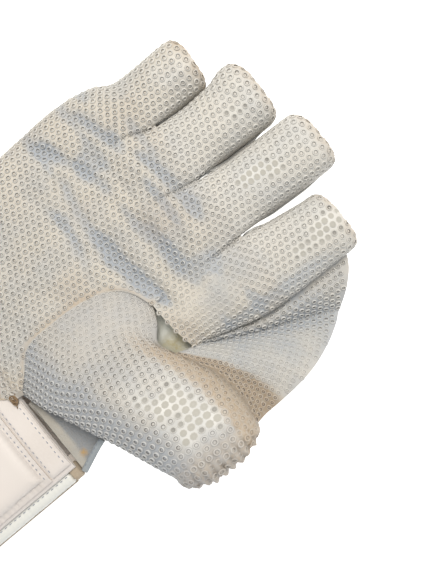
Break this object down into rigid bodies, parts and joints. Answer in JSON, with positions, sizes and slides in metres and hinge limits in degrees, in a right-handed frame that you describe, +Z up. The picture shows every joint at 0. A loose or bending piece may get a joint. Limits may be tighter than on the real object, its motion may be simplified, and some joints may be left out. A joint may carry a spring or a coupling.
{
  "type": "wicketkeeping glove",
  "caption": "Right-hand cricket wicketkeeping glove lying palm up: dimpled rubber palm and thumb, webbed thumb, padded leather back and a deep padded cuff.",
  "frame": {"origin": "on the flat underside of the glove's back, 60 mm from the cuff line towards the fingers, on the middle of the hand", "axes": "+Y along the hand to the fingertips, +X across it to the thumb, +Z up out of the palm"},
  "size_m": [0.2214, 0.3182, 0.074],
  "materials": {
    "dimpled_rubber": "matt off-white rubber with raised rings, worn and stained tan",
    "white_leather": "soft white leather with a fine grain",
    "gusset_leather": "thin grey-cream leather with a coarse grain",
    "strip_leather": "blue-grey leather strip, stitched",
    "cuff_leather": "smooth pinkish-cream leather over foam",
    "white_piping": "smooth white leather binding",
    "tab_leather": "beige leather tab"
  },
  "bodies": {
    "root": {"palm_rubber": "dimpled_rubber", "thumb_rubber": "dimpled_rubber", "web_rubber": "dimpled_rubber", "back_leather": "white_leather", "thumb_back_leather": "white_leather", "crotch_leather": "gusset_leather", "wrist_gusset": "gusset_leather", "gusset_strip": "strip_leather", "cuff_palm_panel": "cuff_leather", "cuff_back_panel": "cuff_leather", "cuff_pad": "cuff_leather", "cuff_band": "cuff_leather", "cuff_binding_thumb_side": "white_piping", "cuff_binding_little_side": "white_piping", "corner_tab": "tab_leather", "cuff_hem": "white_piping"}
  },
  "joints": []
}
